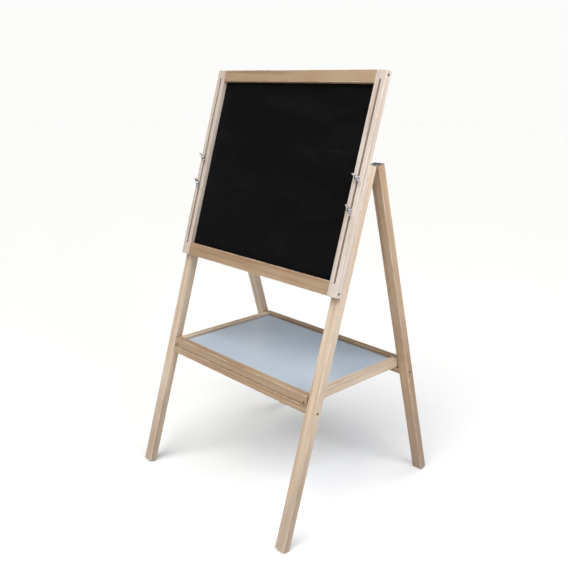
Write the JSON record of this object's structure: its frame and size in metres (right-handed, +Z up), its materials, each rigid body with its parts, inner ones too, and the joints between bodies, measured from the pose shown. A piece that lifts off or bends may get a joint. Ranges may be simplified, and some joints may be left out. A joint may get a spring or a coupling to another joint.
{
  "type": "kids easel",
  "caption": "Folding wooden easel for children: hinged A-frame legs, height-adjustable board with a black front and a white back, and a loose tray across the crossbars.",
  "frame": {"origin": "on the floor, midway between the front and rear feet, below the hinge line", "axes": "+X to the right seen from the front, -Y towards the person drawing on the black side, +Z up"},
  "size_m": [0.6, 0.5796, 1.1165],
  "materials": {
    "pine": "clear satin lacquer",
    "blackboard": "matt black",
    "whiteboard": "gloss white",
    "tray_panel": "satin pale blue-grey",
    "zinc": "bright zinc plated",
    "plated_steel": "dull zinc plated"
  },
  "bodies": {
    "front_frame": {"front_leg_left": "pine", "front_leg_right": "pine", "front_crossbar": "pine", "front_crossbar_screws": "plated_steel", "carriage_bolts": "zinc", "washers": "zinc", "hinge_front_leaves": "plated_steel", "hinge_pins": "plated_steel", "hinge_front_screws": "plated_steel"},
    "rear_frame": {"rear_leg_left": "pine", "rear_leg_right": "pine", "rear_crossbar": "pine", "rear_crossbar_screws": "plated_steel", "hinge_rear_leaves": "plated_steel", "hinge_rear_screws": "plated_steel"},
    "board": {"board_stile_left": "pine", "board_stile_right": "pine", "board_top_rail": "pine", "board_bottom_rail": "pine", "chalkboard_panel": "blackboard", "whiteboard_panel": "whiteboard", "board_screws": "plated_steel"},
    "tray": {"tray_front_rail": "pine", "tray_rear_rail": "pine", "tray_left_rail": "pine", "tray_right_rail": "pine", "tray_panel": "tray_panel", "tray_screws": "plated_steel"},
    "wing_nut_upper_left": {"wing_nut_upper_left": "zinc"},
    "wing_nut_upper_right": {"wing_nut_upper_right": "zinc"},
    "wing_nut_lower_left": {"wing_nut_lower_left": "zinc"},
    "wing_nut_lower_right": {"wing_nut_lower_right": "zinc"}
  },
  "joints": [
    {"name": "rear_frame_fold", "type": "hinge", "parent": "front_frame", "child": "rear_frame", "pos_m": [0, 0, 0.90393], "axis": [1, 0, 0], "range_deg": [-32.8, 0]},
    {"name": "board_height", "type": "slide", "parent": "front_frame", "child": "board", "axis": [0, 0.2823, 0.9593], "range_m": [-0.222, 0.168]},
    {"name": "tray_lift_off", "type": "slide", "parent": "front_frame", "child": "tray", "axis": [0, 0.6, 0.8], "range_m": [0, 0.5]},
    {"name": "wing_nut_upper_left_turn", "type": "hinge", "parent": "front_frame", "child": "wing_nut_upper_left", "pos_m": [-0.285, -0.0538, 0.87911], "axis": [0, -0.9593, 0.2823], "continuous": true},
    {"name": "wing_nut_upper_right_turn", "type": "hinge", "parent": "front_frame", "child": "wing_nut_upper_right", "pos_m": [0.285, -0.0538, 0.87911], "axis": [0, -0.9593, 0.2823], "continuous": true},
    {"name": "wing_nut_lower_left_turn", "type": "hinge", "parent": "front_frame", "child": "wing_nut_lower_left", "pos_m": [-0.285, -0.07526, 0.8062], "axis": [0, -0.9593, 0.2823], "continuous": true},
    {"name": "wing_nut_lower_right_turn", "type": "hinge", "parent": "front_frame", "child": "wing_nut_lower_right", "pos_m": [0.285, -0.07526, 0.8062], "axis": [0, -0.9593, 0.2823], "continuous": true}
  ]
}
